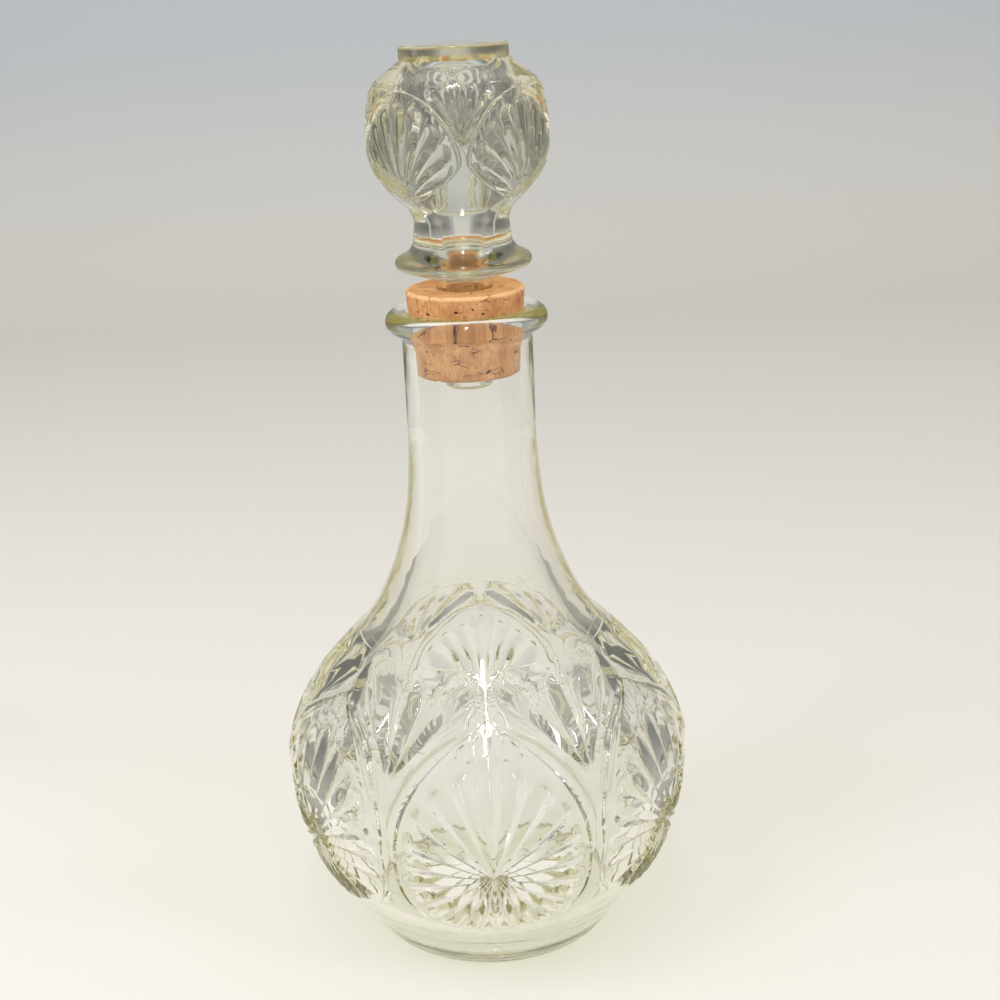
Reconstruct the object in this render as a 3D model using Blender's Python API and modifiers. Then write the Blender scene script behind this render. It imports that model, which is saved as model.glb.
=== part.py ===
# Pressed glass decanter: a blown bottle with a pressed belly, a bored cork and a hollow glass stopper.
# Everything turns round Z. The bottle stands on z = 0 and one panel of its pattern faces -Y.

import math

import bmesh
import bpy
import numpy as np
from mathutils import Vector
from mathutils.geometry import delaunay_2d_cdt

# Bottle
BASE_RADIUS = 0.0425
BELLY_RADIUS = 0.0685
BELLY_HEIGHT = 0.0585
NECK_RADIUS = 0.0211
NECK_START = 0.1760
NECK_LENGTH = 0.0424
HEEL_ROUND = 0.0030
STAND_WIDTH = 0.0060
PUNT_DEPTH = 0.0030
FLOOR_THICKNESS = 0.0065
FLOOR_DISH = 0.0030
BELLY_WALL = 0.0045
SHOULDER_WALL = 0.0080
MOUTH_WALL = 0.0040
MOUTH_ROUND = 0.0008
LIP_OVERHANG = 0.0051
LIP_THICKNESS = 0.0072
LIP_FILLET = 0.0014

# Pattern on the belly: each level is measured up from the one before, the first from the table
BODY_PANELS = 6
BODY_RAYS = 22
BODY_FAN_PETALS = 8
PATTERN_BOTTOM = 0.0200
STAR_LIFT = 0.0290
FAN_LIFT = 0.0295
ARCH_LIFT = 0.0185
TOP_MARGIN = 0.0120
PLAIN_EDGE = 0.0026
RIM_WIDTH = 0.0018
ARCH_RIM_WIDTH = 0.0030
BAND_WIDTH = 0.0026
RIDGE_RISE = 0.0005
GROOVE_DEPTH = 0.0013
FIELD_DEPTH = 0.0006

# Cork: a tapered plug that fits the reamed mouth, with a tapered bore for the stopper's stem
CORK_LENGTH = 0.0273
CORK_FLARE = 0.0024
CORK_PROUD = 0.0065
CORK_CHAMFER = 0.0008
FIT_GAP = 0.0003

# Stopper: each level is measured up from the one before, the first from the underside of the flange
STEM_LENGTH = 0.0360
STEM_RADIUS = 0.0079
STEM_FLARE = 0.0012
STEM_PROUD = 0.0038
STEM_WALL = 0.0026
TIP_ROUND = 0.0010
BOSS_RADIUS = 0.0117
FLANGE_RADIUS = 0.0218
FLANGE_LIFT = 0.0048
FLANGE_EDGE = 0.0021
ROOT_RADIUS = 0.0158
ROOT_LIFT = 0.0059
WAIST_RADIUS = 0.0150
WAIST_LIFT = 0.0073
BALL_RADIUS = 0.0281
BALL_LIFT = 0.0265
CAVITY_RADIUS = 0.0136
COLLAR_RADIUS = 0.0170
COLLAR_LIFT = 0.0223
COLLAR_THICKNESS = 0.0045
COLLAR_ROUND = 0.0011

# Pattern on the ball: each level is measured up from the one before, the first from the waist;
# the hub of its rays sits low in the arch, measured up from the pattern's bottom
BALL_PANELS = 4
BALL_RAYS = 22
BALL_FAN_PETALS = 6
BALL_PATTERN_LIFT = 0.0055
BALL_HUB_LIFT = 0.0078
BALL_STAR_LIFT = 0.0140
BALL_FAN_LIFT = 0.0045
BALL_ARCH_LIFT = 0.0160
BALL_TOP_MARGIN = 0.0030
BALL_PLAIN_EDGE = 0.0012
BALL_RIM_WIDTH = 0.0012
BALL_ARCH_RIM_WIDTH = 0.0016
BALL_BAND_WIDTH = 0.0020
BALL_GROOVE_DEPTH = 0.0010

# Outline shares: how far up a stretch, then how much of the change of radius is made by then
BELLY_SHARES = (
    (0.00, 0.00), (0.08, 0.08), (0.16, 0.18), (0.26, 0.34), (0.36, 0.53), (0.46, 0.68),
    (0.56, 0.79), (0.67, 0.875), (0.77, 0.93), (0.88, 0.975), (1.00, 1.00),
)
SHOULDER_SHARES = (
    (0.00, 1.00), (0.09, 0.987), (0.19, 0.90), (0.29, 0.74), (0.39, 0.515), (0.49, 0.325),
    (0.59, 0.198), (0.70, 0.098), (0.80, 0.043), (0.90, 0.013), (1.00, 0.00),
)
BALL_LOWER_SHARES = (
    (0.00, 0.00), (0.15, 0.14), (0.25, 0.36), (0.37, 0.59), (0.57, 0.85), (0.78, 0.96), (1.00, 1.00),
)
BALL_UPPER_SHARES = (
    (0.00, 1.00), (0.24, 0.96), (0.48, 0.885), (0.66, 0.785), (0.74, 0.70), (0.87, 0.35), (1.00, 0.00),
)
# The stopper's hollow: how far up from waist to collar, then how much it has widened from the stem's bore
CAVITY_SHARES = (
    (0.00, 0.06), (0.12, 0.24), (0.24, 0.52), (0.38, 0.82), (0.52, 0.98), (0.68, 1.00), (0.80, 0.88),
    (0.88, 0.58),
)
CAVITY_ROOF_SHARE = 0.94
# How far the stopper is turned in the photo, as a share of one of its panels
STOPPER_TURN_SHARE = 0.036
# Heights on the heel, as shares of the level where the pattern starts
HEEL_SHARES = (1.00, 0.72, 0.45)
# The dip between the stopper's root and the edge of its flange: how far out, and how much of the drop is left
DIP_OUT_SHARE = 0.45
DIP_UP_SHARE = 0.60
# A star's outline is a superellipse, full below and drawn to a point at the top of its arch
BOWL_FULLNESS = 2.5
BODY_ARCH_FULLNESS = 1.95
BODY_POINT_FULLNESS = 1.2
BALL_ARCH_FULLNESS = 1.80
BALL_POINT_FULLNESS = 1.80
POINT_SHARPNESS = 3.5
HUB_SHARE = 0.14
MIDDLE_SHARE = 0.46
RIDGE_END_SHARE = 0.80
RIDGE_TIP_SHARE = 0.93
GROOVE_END_SHARE = 0.84
FAN_ROOT_SHARE = 0.22
FAN_MIDDLE_SHARE = 0.60
FAN_CUSP_SHARE = 0.90
FAN_CROWD_SHARE = 1.5

# Facets: steps round a turn for each piece, and along each half panel
HALF_PANEL_STEPS = 4
CORK_STEPS = 36
ARC_STEPS = 4
INSIDE_STEPS = 9
NECK_STEPS = 9
END_STEPS = 2
COLLAR_STEPS = 3
LIP_STEPS = 6
BAND_STEPS = 10
HALVINGS = 40
WELD = 0.00002

# Places that follow from the sizes
MOUTH_LEVEL = NECK_START + NECK_LENGTH
LIP_RADIUS = NECK_RADIUS + LIP_OVERHANG
BORE_RADIUS = NECK_RADIUS - MOUTH_WALL
PATTERN_TOP = PATTERN_BOTTOM + STAR_LIFT + FAN_LIFT + ARCH_LIFT + TOP_MARGIN
CORK_RADIUS = BORE_RADIUS - FIT_GAP
CORK_TOP = MOUTH_LEVEL + CORK_PROUD
CORK_BOTTOM = CORK_TOP - CORK_LENGTH
BOSS_LEVEL = CORK_TOP + STEM_PROUD
TIP_LEVEL = BOSS_LEVEL - STEM_LENGTH
FLANGE_LEVEL = BOSS_LEVEL + FLANGE_LIFT
ROOT_LEVEL = FLANGE_LEVEL + ROOT_LIFT
WAIST_LEVEL = ROOT_LEVEL + WAIST_LIFT
BALL_LEVEL = WAIST_LEVEL + BALL_LIFT
COLLAR_LEVEL = BALL_LEVEL + COLLAR_LIFT
STOPPER_TOP = COLLAR_LEVEL + COLLAR_THICKNESS


def smooth(shares, at):
    """Value at a share along a smooth curve through the given pairs."""
    x, y = np.array(shares).T
    slopes = np.gradient(y, x)
    at = min(max(at, x[0]), x[-1])
    i = min(int(np.searchsorted(x, at, side="right")) - 1, len(x) - 2)
    span = x[i + 1] - x[i]
    t = (at - x[i]) / span
    start = (1 + 2 * t) * (1 - t) ** 2 * y[i] + t * (1 - t) ** 2 * span * slopes[i]
    end = t * t * (3 - 2 * t) * y[i + 1] - t * t * (1 - t) * span * slopes[i + 1]
    return float(start + end)


def body_radius(z):
    """Outer radius of the bottle, without its pattern."""
    if z <= BELLY_HEIGHT:
        return BASE_RADIUS + (BELLY_RADIUS - BASE_RADIUS) * smooth(BELLY_SHARES, z / BELLY_HEIGHT)
    share = (z - BELLY_HEIGHT) / (NECK_START - BELLY_HEIGHT)
    return NECK_RADIUS + (BELLY_RADIUS - NECK_RADIUS) * smooth(SHOULDER_SHARES, share)


def ball_radius(z):
    """Outer radius of the stopper's ball between its waist and its collar, without its pattern."""
    if z <= BALL_LEVEL:
        share = (z - WAIST_LEVEL) / BALL_LIFT
        return WAIST_RADIUS + (BALL_RADIUS - WAIST_RADIUS) * smooth(BALL_LOWER_SHARES, share)
    share = (z - BALL_LEVEL) / COLLAR_LIFT
    return COLLAR_RADIUS + (BALL_RADIUS - COLLAR_RADIUS) * smooth(BALL_UPPER_SHARES, share)


def cork_radius(z):
    """Outer radius of the cork, which its mouth in the bottle follows."""
    return CORK_RADIUS + CORK_FLARE * (z - CORK_BOTTOM) / CORK_LENGTH


def stem_radius(z):
    """Outer radius of the stopper's stem, which the cork's bore follows."""
    return STEM_RADIUS + STEM_FLARE * (z - TIP_LEVEL) / STEM_LENGTH


def arc(middle_r, middle_z, radius, start, end, steps=ARC_STEPS):
    """Points on an arc, with angles in degrees from straight out."""
    turns = [math.radians(start + (end - start) * i / steps) for i in range(steps + 1)]
    return [(middle_r + radius * math.cos(a), middle_z + radius * math.sin(a)) for a in turns]


def spaced(start, end, steps):
    """Evenly spaced heights, both ends among them."""
    return [start + (end - start) * i / steps for i in range(steps + 1)]


def inner_wall(radius_at, wall_at, heights):
    """The outline set inwards by the wall, square to the surface."""
    points = []
    for z in heights:
        slope = (radius_at(z + WELD) - radius_at(z - WELD)) / (2 * WELD)
        length = math.hypot(1, slope)
        points.append((radius_at(z) - wall_at(z) / length, z + wall_at(z) * slope / length))
    return points


class Panel:
    """One panel of a pressed pattern: a pointed star, and half a fan of petals on each side of it.

    It is drawn flat, x along the girth from the panel's middle and y up, then wrapped on a turned surface.
    """

    def __init__(self, radius_at, girth, counts, fullness, turn, levels, hub, edge, rims, band, groove):
        bottom, star, fan, arch, top = levels
        self.radius_at = radius_at
        self.count, self.rays, self.petals = counts
        self.turn = turn
        self.arch_fullness, self.point_fullness = fullness
        self.bottom = bottom
        self.star = star
        self.hub = hub
        self.fan = fan
        self.top = top
        self.edge = edge
        self.rim, self.arch_rim = rims
        self.groove = groove
        self.half = math.pi * girth / self.count
        self.side = self.half - band / 2 - self.rim
        self.drop = star - bottom - edge - self.rim
        self.rise = arch - star
        self.arch = []
        self.points = []
        self.heights = []
        self.edges = []

    def outline(self, turn):
        """How far the star's field runs from its widest level, by the turn from straight down."""
        upward = max(0, 2 * turn / math.pi - 1)
        fullness = BOWL_FULLNESS
        if upward:
            pointed = upward**POINT_SHARPNESS
            fullness = self.arch_fullness + (self.point_fullness - self.arch_fullness) * pointed
        across = (abs(math.sin(turn)) / self.side) ** fullness
        along = (abs(math.cos(turn)) / (self.rise if upward else self.drop)) ** fullness
        return (across + along) ** (-1 / fullness)

    def reach(self, turn):
        """How far the field runs from the hub of its rays, found by halving."""
        near, far = 0, self.side + self.drop + self.rise
        for _ in range(HALVINGS):
            out = (near + far) / 2
            x = out * abs(math.sin(turn))
            y = self.hub - out * math.cos(turn)
            if math.hypot(x, y - self.star) < self.outline(math.atan2(x, self.star - y)):
                near = out
            else:
                far = out
        return near

    def rim_width(self, turn):
        """The raised rim's width, which swells along both sides of the arch."""
        upward = max(0, 2 * turn / math.pi - 1)
        return self.rim + (self.arch_rim - self.rim) * math.sin(math.pi * upward)

    def add(self, x, y, height):
        self.points.append((x if x > WELD else 0, y))
        self.heights.append(height)
        return len(self.points) - 1

    def join(self, indices):
        self.edges += list(zip(indices, indices[1:]))

    def star_lines(self):
        """Rays from the star's hub: ridges and grooves in turn, each out through the rim."""
        lines = 2 * self.rays
        hub = self.add(0, self.hub, -self.groove / 2)
        rings = []
        for k in range(lines // 2 + 1):
            turn = 2 * math.pi * k / lines
            reach = self.reach(turn)
            if k % 2 == 0:
                stations = (
                    (HUB_SHARE, -self.groove / 2), (MIDDLE_SHARE, RIDGE_RISE),
                    (RIDGE_END_SHARE, RIDGE_RISE), (RIDGE_TIP_SHARE, -FIELD_DEPTH),
                )
            else:
                stations = (
                    (HUB_SHARE, -self.groove / 2), (MIDDLE_SHARE, -self.groove),
                    (GROOVE_END_SHARE, -FIELD_DEPTH),
                )
            far = [(reach * share, height) for share, height in stations]
            rim = self.rim_width(turn)
            far += [(reach, -FIELD_DEPTH), (reach + rim / 2, RIDGE_RISE), (reach + rim, 0)]
            rings.append([
                self.add(out * abs(math.sin(turn)), self.hub - out * math.cos(turn), height)
                for out, height in far
            ])
        self.arch = [self.points[ring[-1]] for ring in rings]
        for ring in rings:
            self.join([hub] + ring)
        for here, there in zip(rings, rings[1:]):
            for place in (0, 1, -4, -3, -2, -1):
                self.edges.append((here[place], there[place]))

    def fan_lines(self):
        """Petals from the fan's root on the panel's edge, spreading over the arch."""
        side = self.petals // 2
        reach = self.top - self.edge - self.fan
        spread = min(math.atan2(self.half - x, y - self.fan) for x, y in self.arch if y > self.fan)
        root = self.add(self.half, self.fan, -self.groove / 2)
        tips = []
        for j in range(2 * side):
            turn = spread * (j / (2 * side)) ** FAN_CROWD_SHARE
            out = reach / math.cos(turn)
            if j:
                out = min(out, (self.half - self.edge) / math.sin(turn))
            if j % 2:
                stations = (
                    (FAN_ROOT_SHARE, 0), (FAN_MIDDLE_SHARE, RIDGE_RISE), (FAN_CUSP_SHARE, RIDGE_RISE), (1, 0),
                )
            else:
                stations = (
                    (FAN_ROOT_SHARE, -self.groove), (FAN_MIDDLE_SHARE, -self.groove), (FAN_CUSP_SHARE, 0),
                )
            line = [
                self.add(self.half - out * s * math.sin(turn), self.fan + out * s * math.cos(turn), height)
                for s, height in stations
            ]
            self.join([root] + line)
            tips.append(line[-1])
        self.join(tips)

    def frame(self):
        """The panel's edges: rows that meet the turned surfaces, and the band between two stars."""
        for y in (self.bottom, self.top):
            for x in spaced(0, self.half, HALF_PANEL_STEPS):
                self.add(x, y, 0)
        for y in spaced(self.bottom, self.fan, BAND_STEPS)[1:-1]:
            self.add(self.half, y, 0)

    def wrap(self, bm):
        """Both halves of every panel, wrapped on the turned surface."""
        self.star_lines()
        self.fan_lines()
        self.frame()
        flat = [Vector((x / self.half, (y - self.bottom) / self.half)) for x, y in self.points]
        made, _, faces, sources, _, _ = delaunay_2d_cdt(flat, self.edges, [], 0, 1e-6)
        heights = [self.heights[source[0]] if source else 0 for source in sources]
        for panel in range(self.count):
            for side in (1, -1):
                verts = []
                for place, height in zip(made, heights):
                    angle = (side * place.x + 2 * panel) * math.pi / self.count + self.turn
                    z = self.bottom + place.y * self.half
                    radius = self.radius_at(z) + height
                    verts.append(bm.verts.new((radius * math.sin(angle), -radius * math.cos(angle), z)))
                for face in faces:
                    bm.faces.new([verts[i] for i in (face if side > 0 else reversed(face))])


def turned(name, profiles, steps, start=0):
    """A mesh turned from open outlines that run down the outside, from a starting angle."""
    mesh = bpy.data.meshes.new(name)
    points = []
    edges = []
    for profile in profiles:
        edges += [(len(points) + i, len(points) + i + 1) for i in range(len(profile) - 1)]
        points += [(r * math.cos(start), r * math.sin(start), z) for r, z in profile]
    mesh.from_pydata(points, edges, [])
    blank = bpy.data.objects.new(name, mesh)
    bpy.context.scene.collection.objects.link(blank)
    screw = blank.modifiers.new("Turn", "SCREW")
    screw.axis = "Z"
    screw.steps = steps
    screw.render_steps = steps
    screw.use_merge_vertices = True
    screw.merge_threshold = WELD / 2
    screw.use_smooth_shade = True
    graph = bpy.context.evaluated_depsgraph_get()
    result = bpy.data.meshes.new_from_object(blank.evaluated_get(graph))
    bpy.data.objects.remove(blank)
    bpy.data.meshes.remove(mesh)
    return result


def finish(name, mesh, material, collection, panel=None):
    """The named object, with its pressed panels welded to its turned surfaces."""
    bm = bmesh.new()
    bm.from_mesh(mesh)
    if panel:
        panel.wrap(bm)
    bmesh.ops.remove_doubles(bm, verts=bm.verts, dist=WELD)
    bmesh.ops.recalc_face_normals(bm, faces=bm.faces)
    bm.to_mesh(mesh)
    bm.free()
    mesh.name = name
    mesh.materials.clear()
    mesh.materials.append(material)
    mesh.shade_smooth()
    mesh.set_sharp_from_angle(angle=math.radians(25))
    made = bpy.data.objects.new(name, mesh)
    collection.objects.link(made)
    return made


def glass():
    material = bpy.data.materials.new("soda_lime_glass")
    material.use_nodes = True
    shader = material.node_tree.nodes["Principled BSDF"]
    shader.inputs["Base Color"].default_value = (0.86, 0.90, 0.80, 1)
    shader.inputs["Roughness"].default_value = 0.03
    shader.inputs["Metallic"].default_value = 0.0
    shader.inputs["IOR"].default_value = 1.52
    shader.inputs["Transmission Weight"].default_value = 1.0
    return material


def cork():
    material = bpy.data.materials.new("natural_cork")
    material.use_nodes = True
    shader = material.node_tree.nodes["Principled BSDF"]
    shader.inputs["Base Color"].default_value = (0.70, 0.36, 0.14, 1)
    shader.inputs["Roughness"].default_value = 0.85
    shader.inputs["Metallic"].default_value = 0.0
    return material


def decanter_body(material, collection):
    """The bottle: stand, pressed belly, shoulder, neck and rounded lip, hollow right through its mouth."""
    heel = [(body_radius(PATTERN_BOTTOM * share), PATTERN_BOTTOM * share) for share in HEEL_SHARES]
    heel += arc(BASE_RADIUS - HEEL_ROUND, HEEL_ROUND, HEEL_ROUND, 0, -90)
    stand = BASE_RADIUS - HEEL_ROUND - STAND_WIDTH
    heel += [(stand, 0), (stand - PUNT_DEPTH, PUNT_DEPTH / 2), (stand / 2, PUNT_DEPTH), (0, PUNT_DEPTH)]

    def wall(z):
        if z <= PATTERN_TOP:
            share = max(0, (z - BELLY_HEIGHT) / (PATTERN_TOP - BELLY_HEIGHT))
            return BELLY_WALL + (SHOULDER_WALL - BELLY_WALL) * share
        share = min(1, (z - PATTERN_TOP) / (NECK_START - PATTERN_TOP))
        return SHOULDER_WALL + (MOUTH_WALL - SHOULDER_WALL) * share

    heights = spaced(FLOOR_THICKNESS + 2 * HEEL_ROUND, NECK_START, INSIDE_STEPS)
    cavity = inner_wall(body_radius, wall, heights)
    floor_rim = cavity[0][0]
    inside = [(0, FLOOR_THICKNESS + FLOOR_DISH), (floor_rim / 2, FLOOR_THICKNESS + FLOOR_DISH / 2)]
    inside += [(floor_rim - HEEL_ROUND, FLOOR_THICKNESS)] + cavity
    mouth = cork_radius(MOUTH_LEVEL) + FIT_GAP
    inside += [(BORE_RADIUS, CORK_BOTTOM)]
    inside += arc(mouth + MOUTH_ROUND, MOUTH_LEVEL - MOUTH_ROUND, MOUTH_ROUND, 180, 90, END_STEPS)
    bead = LIP_THICKNESS / 2
    inside += arc(LIP_RADIUS - bead, MOUTH_LEVEL - bead, bead, 90, -90, LIP_STEPS)
    neck_top = MOUTH_LEVEL - LIP_THICKNESS - LIP_FILLET
    inside += [(body_radius(z), z) for z in spaced(neck_top, PATTERN_TOP, NECK_STEPS)]
    mesh = turned("decanter_body", (heel, inside), 2 * HALF_PANEL_STEPS * BODY_PANELS)
    levels = np.cumsum((PATTERN_BOTTOM, STAR_LIFT, FAN_LIFT, ARCH_LIFT, TOP_MARGIN)).tolist()
    panel = Panel(
        body_radius, BELLY_RADIUS, (BODY_PANELS, BODY_RAYS, BODY_FAN_PETALS),
        (BODY_ARCH_FULLNESS, BODY_POINT_FULLNESS), turn=0, levels=levels, hub=levels[1], edge=PLAIN_EDGE,
        rims=(RIM_WIDTH, ARCH_RIM_WIDTH), band=BAND_WIDTH, groove=GROOVE_DEPTH,
    )
    return finish("decanter_body", mesh, material, collection, panel)


def cork_sleeve(material, collection):
    """The cork, with its bore a running gap wider than the stem."""
    chamfer = CORK_CHAMFER
    outside = [
        (cork_radius(CORK_TOP) - chamfer, CORK_TOP), (cork_radius(CORK_TOP - chamfer), CORK_TOP - chamfer),
        (cork_radius(CORK_BOTTOM + chamfer), CORK_BOTTOM + chamfer),
        (cork_radius(CORK_BOTTOM) - chamfer, CORK_BOTTOM),
    ]
    inside = [(stem_radius(z) + FIT_GAP, z) for z in (CORK_BOTTOM, CORK_TOP)]
    profile = outside + inside + outside[:1]
    return finish("cork_sleeve", turned("cork_sleeve", (profile,), CORK_STEPS), material, collection)


def stopper(material, collection):
    """The stopper: collar, pressed ball, waist and flange on a hollow stem that opens at its tip."""
    levels = np.cumsum(
        (WAIST_LEVEL + BALL_PATTERN_LIFT, BALL_STAR_LIFT, BALL_FAN_LIFT, BALL_ARCH_LIFT, BALL_TOP_MARGIN)
    ).tolist()
    collar = [(0, STOPPER_TOP)]
    collar += arc(COLLAR_RADIUS - COLLAR_ROUND, STOPPER_TOP - COLLAR_ROUND, COLLAR_ROUND, 90, 0, COLLAR_STEPS)
    collar += [(ball_radius(z), z) for z in spaced(COLLAR_LEVEL, levels[-1], END_STEPS)]
    foot = [(ball_radius(z), z) for z in spaced(levels[0], WAIST_LEVEL, END_STEPS)]
    sweep = FLANGE_RADIUS - FLANGE_EDGE
    foot += [
        (ROOT_RADIUS, ROOT_LEVEL),
        (ROOT_RADIUS + (sweep - ROOT_RADIUS) * DIP_OUT_SHARE, FLANGE_LEVEL + ROOT_LIFT * DIP_UP_SHARE),
    ]
    foot += arc(sweep, FLANGE_LEVEL, FLANGE_EDGE, 60, -60)
    foot += [(BOSS_RADIUS, BOSS_LEVEL), (stem_radius(BOSS_LEVEL), BOSS_LEVEL)]
    foot += [(stem_radius(TIP_LEVEL + TIP_ROUND), TIP_LEVEL + TIP_ROUND)]
    foot += arc(stem_radius(TIP_LEVEL) - TIP_ROUND, TIP_LEVEL + TIP_ROUND, TIP_ROUND, -30, -90, END_STEPS)
    foot += [(stem_radius(z) - STEM_WALL, z) for z in (TIP_LEVEL, BOSS_LEVEL)]
    bore = stem_radius(BOSS_LEVEL) - STEM_WALL
    inside_height = COLLAR_LEVEL - WAIST_LEVEL
    foot += [
        (bore + (CAVITY_RADIUS - bore) * out, WAIST_LEVEL + inside_height * up) for up, out in CAVITY_SHARES
    ]
    roof = WAIST_LEVEL + inside_height * CAVITY_ROOF_SHARE
    foot += [(foot[-1][0] / 2, roof), (0, roof)]
    turn = 2 * math.pi / BALL_PANELS * STOPPER_TURN_SHARE
    mesh = turned("stopper", (collar, foot), 2 * HALF_PANEL_STEPS * BALL_PANELS, turn)
    panel = Panel(
        ball_radius, BALL_RADIUS, (BALL_PANELS, BALL_RAYS, BALL_FAN_PETALS),
        (BALL_ARCH_FULLNESS, BALL_POINT_FULLNESS), turn=math.pi / BALL_PANELS + turn, levels=levels,
        hub=levels[0] + BALL_HUB_LIFT, edge=BALL_PLAIN_EDGE,
        rims=(BALL_RIM_WIDTH, BALL_ARCH_RIM_WIDTH), band=BALL_BAND_WIDTH, groove=BALL_GROOVE_DEPTH,
    )
    return finish("stopper", mesh, material, collection, panel)


def main():
    for old in list(bpy.data.objects):
        bpy.data.objects.remove(old)
    collection = bpy.data.collections.new("pressed_glass_decanter")
    bpy.context.scene.collection.children.link(collection)
    clear = glass()
    decanter_body(clear, collection)
    cork_sleeve(cork(), collection)
    stopper(clear, collection)


main()
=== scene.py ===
# Pressed glass decanter with a bored cork and a hollow glass stopper: its looks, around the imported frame
import math

import bmesh
import bpy
import numpy as np
from mathutils import Matrix, Vector
from mathutils.geometry import delaunay_2d_cdt
from mathutils.kdtree import KDTree


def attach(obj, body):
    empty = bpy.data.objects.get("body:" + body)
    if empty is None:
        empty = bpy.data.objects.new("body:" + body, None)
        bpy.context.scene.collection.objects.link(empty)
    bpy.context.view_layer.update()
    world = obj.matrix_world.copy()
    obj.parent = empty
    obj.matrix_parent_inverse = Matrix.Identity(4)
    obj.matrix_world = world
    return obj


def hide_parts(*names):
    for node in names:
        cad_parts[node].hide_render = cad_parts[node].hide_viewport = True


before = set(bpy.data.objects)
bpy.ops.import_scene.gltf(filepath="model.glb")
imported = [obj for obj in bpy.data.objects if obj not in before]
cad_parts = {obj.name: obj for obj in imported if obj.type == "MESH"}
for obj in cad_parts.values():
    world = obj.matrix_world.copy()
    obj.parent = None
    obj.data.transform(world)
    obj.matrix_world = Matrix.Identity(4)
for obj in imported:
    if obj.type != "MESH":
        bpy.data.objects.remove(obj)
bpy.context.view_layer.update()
print("frame loaded")

mm = 0.001


def smoothCurve(pairs):  # a smooth line through (share, value) pairs
    x, y = np.array(pairs, float).T
    slopes = np.gradient(y, x)

    def at(values):
        v = np.clip(values, x[0], x[-1])
        i = np.clip(np.searchsorted(x, v, side="right") - 1, 0, len(x) - 2)
        span = x[i + 1] - x[i]
        t = (v - x[i]) / span
        start = (1 + 2 * t) * (1 - t) ** 2 * y[i] + t * (1 - t) ** 2 * span * slopes[i]
        end = t * t * (3 - 2 * t) * y[i + 1] - t * t * (1 - t) * span * slopes[i + 1]
        return start + end

    return at


def ramp(low, high, value):  # 0 below low, 1 above high, eased between
    t = np.clip((value - low) / (high - low), 0, 1)
    return t * t * (3 - 2 * t)


def arc(middleR, middleZ, radius, start, end, steps):
    turns = np.radians(np.linspace(start, end, steps + 1))
    return [(middleR + radius * math.cos(a), middleZ + radius * math.sin(a)) for a in turns]


def roundedLine(points, rounds, steps=5):  # the line with each inner corner rounded by its radius
    made = [points[0]]
    for before, here, after, radius in zip(points, points[1:], points[2:], rounds):
        a, b, c = Vector(before), Vector(here), Vector(after)
        toA, toC = (a - b).normalized(), (c - b).normalized()
        half = math.acos(max(-1, min(1, toA.dot(toC)))) / 2
        if radius == 0 or half > 1.55:
            made.append(here)
            continue
        run = min(radius / math.tan(half), (a - b).length * 0.49, (c - b).length * 0.49)
        for i in range(steps + 1):
            t = i / steps
            p = (b + toA * run) * (1 - t) ** 2 + b * 2 * t * (1 - t) + (b + toC * run) * t * t
            made.append((p.x, p.y))
    made.append(points[-1])
    return made


def insetLine(radiusAt, wallAt, heights):  # the outline moved inwards, square to the surface
    slope = (radiusAt(heights + 0.01) - radiusAt(heights - 0.01)) / 0.02
    length = np.hypot(1, slope)
    wall = wallAt(heights)
    return list(zip(radiusAt(heights) - wall / length, heights + wall * slope / length))


bottle = {
    "belly radius": 68.5,
    "belly height": 58.5,
    "base radius": 42.5,
    "neck radius": 21.1,
    "neck start": 176.0,
    "mouth level": 218.4,
    "heel round": 3.0,
    "stand width": 6.0,
    "punt depth": 3.0,
    "floor": 6.5,
    "floor dish": 3.0,
    "belly wall": 4.5,
    "shoulder wall": 8.0,
    "mouth wall": 4.0,
    "mouth round": 0.8,
    "lip radius": 26.2,
    "lip thickness": 7.2,
    "lip fillet": (1.4, 0.5, 1.0, 1.2),  # its height under the lip, its width, where it bends and how round
    "heel share": 0.3,  # the foot follows the belly's curve down to this share of its height
    "under rounds": (1.5, 3.0, 10.0),
    "floor rounds": (12.0, 3.0, 2.5),
    "steps": 288,
}
belly = smoothCurve((
    (0.00, 0.00), (0.08, 0.08), (0.16, 0.18), (0.26, 0.34), (0.36, 0.53), (0.46, 0.68),
    (0.56, 0.79), (0.67, 0.875), (0.77, 0.93), (0.88, 0.975), (1.00, 1.00),
))
shoulder = smoothCurve((
    (0.00, 1.00), (0.09, 0.987), (0.19, 0.90), (0.29, 0.74), (0.39, 0.515), (0.49, 0.325),
    (0.59, 0.198), (0.70, 0.098), (0.80, 0.043), (0.90, 0.013), (1.00, 0.00),
))
bottlePattern = {
    "panels": 6,
    "turned by": 0,
    "girth": 68.5,
    "rays": 22,
    "bottom": 20.0,
    "star": 49.0,
    "hub": 49.0,
    "fan": 78.5,
    "arch": 97.0,
    "top": 109.0,
    "edge": 2.6,
    "rim": 1.8,
    "arch rim": 5.0,
    "point rim": 0.8,
    "band": 2.6,
    "bowl fullness": 2.5,
    "arch fullness": 1.95,
    "point fullness": 1.2,
    "ridge": 0.5,
    "ribbon": 0.7,  # how much further the rim's crown stands out along the sides of the arch
    "groove": 1.3,
    "field": 0.7,
    "frame start": 0.9,
    "low rays": 0.85,  # how much of the relief the rays below the hub keep
    "petal round": 0.3,
    "petal end": 0.94,
    "top petal end": 0.81,
    "leaf middles": (0.0, 30.0),  # degrees from straight up, at the fan's root
    "leaf halves": (16.5, 12.5),
    "leaf bend": 18.0,  # how far the outermost leaf turns outwards along its length
    "leaf ridge": 1.5,
    "leaf valley": 1.6,
    "row steps": 24,
    "spacing": 1.0,
}


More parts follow.
